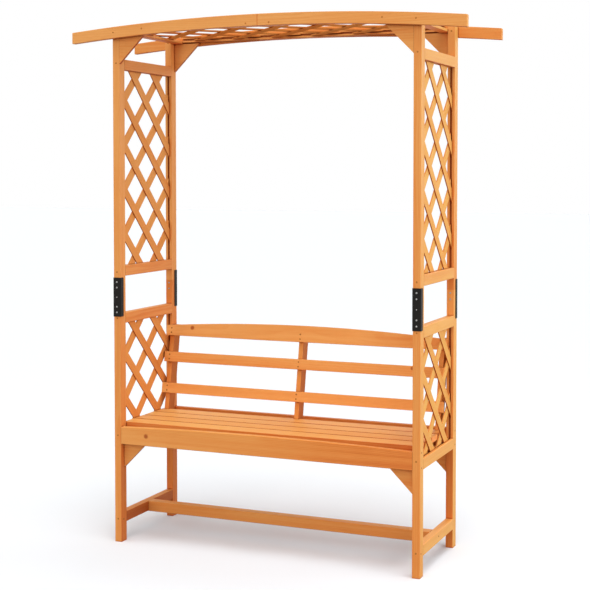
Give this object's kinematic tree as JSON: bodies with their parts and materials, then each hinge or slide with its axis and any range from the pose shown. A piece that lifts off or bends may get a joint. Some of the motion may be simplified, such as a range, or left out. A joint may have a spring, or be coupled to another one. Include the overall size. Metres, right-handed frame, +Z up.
{
  "type": "arbour seat",
  "caption": "Softwood garden arbour: slatted bench with a leaning back between trellis-filled side frames under an arched trellis roof.",
  "frame": {"origin": "on the ground, at the middle of the arbour's length and depth", "axes": "+X to the sitter's left along the front, seen from the front to the right; +Y from front to back; +Z up"},
  "size_m": [1.526, 0.486, 1.9516],
  "materials": {
    "timber": "honey-brown stained softwood, sawn and planed, satin",
    "bracket_steel": "black powder-coated sheet steel",
    "fastener_steel": "zinc-plated steel"
  },
  "bodies": {
    "root": {"back_apron": "timber", "back_roof_batten": "timber", "bracket_screws": "fastener_steel", "foot_stretcher": "timber", "front_apron": "timber", "front_roof_batten": "timber", "lap_bolts": "fastener_steel", "left_back_beam": "timber", "left_back_bracket": "bracket_steel", "left_back_lower_post": "timber", "left_back_roof_gusset": "timber", "left_back_upper_post": "timber", "left_back_upright": "timber", "left_foot_rail": "timber", "left_front_beam": "timber", "left_front_bracket": "bracket_steel", "left_front_lower_post": "timber", "left_front_roof_gusset": "timber", "left_front_upper_post": "timber", "left_lower_panel_rail": "timber", "left_lower_trellis": "timber", "left_roof_strip": "timber", "left_seat_bearer": "timber", "left_seat_rail": "timber", "left_top_rail": "timber", "left_upper_panel_rail": "timber", "left_upper_trellis": "timber", "lower_back_rail": "timber", "middle_back_rail": "timber", "middle_back_upright": "timber", "middle_seat_bearer": "timber", "right_back_beam": "timber", "right_back_bracket": "bracket_steel", "right_back_lower_post": "timber", "right_back_roof_gusset": "timber", "right_back_upper_post": "timber", "right_back_upright": "timber", "right_foot_rail": "timber", "right_front_beam": "timber", "right_front_bracket": "bracket_steel", "right_front_lower_post": "timber", "right_front_roof_gusset": "timber", "right_front_upper_post": "timber", "right_lower_panel_rail": "timber", "right_lower_trellis": "timber", "right_roof_strip": "timber", "right_seat_bearer": "timber", "right_seat_rail": "timber", "right_top_rail": "timber", "right_upper_panel_rail": "timber", "right_upper_trellis": "timber", "roof_trellis": "timber", "seat_gussets": "timber", "seat_slat_1": "timber", "seat_slat_2": "timber", "seat_slat_3": "timber", "seat_slat_4": "timber", "top_back_rail": "timber"}
  },
  "joints": []
}
